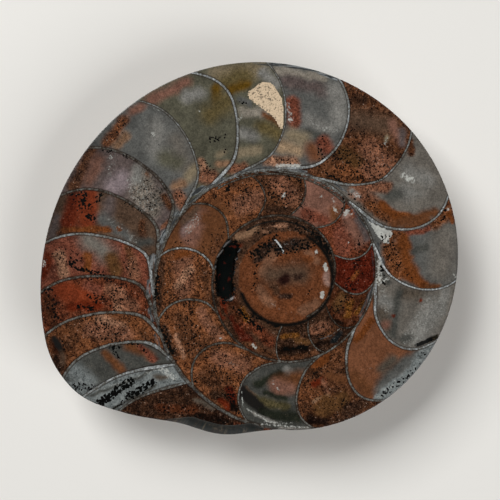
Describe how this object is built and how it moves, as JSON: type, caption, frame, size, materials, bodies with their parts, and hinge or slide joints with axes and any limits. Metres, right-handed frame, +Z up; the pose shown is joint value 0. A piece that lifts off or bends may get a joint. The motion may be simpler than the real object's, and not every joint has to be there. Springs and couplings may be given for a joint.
{
  "type": "ammonite fossil half",
  "caption": "Polished half of a coiled ammonite fossil, sawn through its middle to show mineral-filled chambers between curved walls.",
  "frame": {"origin": "middle of the base of the bounding box, where the half rests on the flank of its last whorl", "axes": "+Z up, square to the polished section; +X along the section's longest side, away from the broken opening; the shell grows counter-clockwise seen from +Z"},
  "size_m": [0.08, 0.0716, 0.013],
  "materials": {
    "fossil_stone": "polished calcite and iron-stained section, with a weathered natural flank below"
  },
  "bodies": {
    "root": {"ammonite_half": "fossil_stone"}
  },
  "joints": []
}
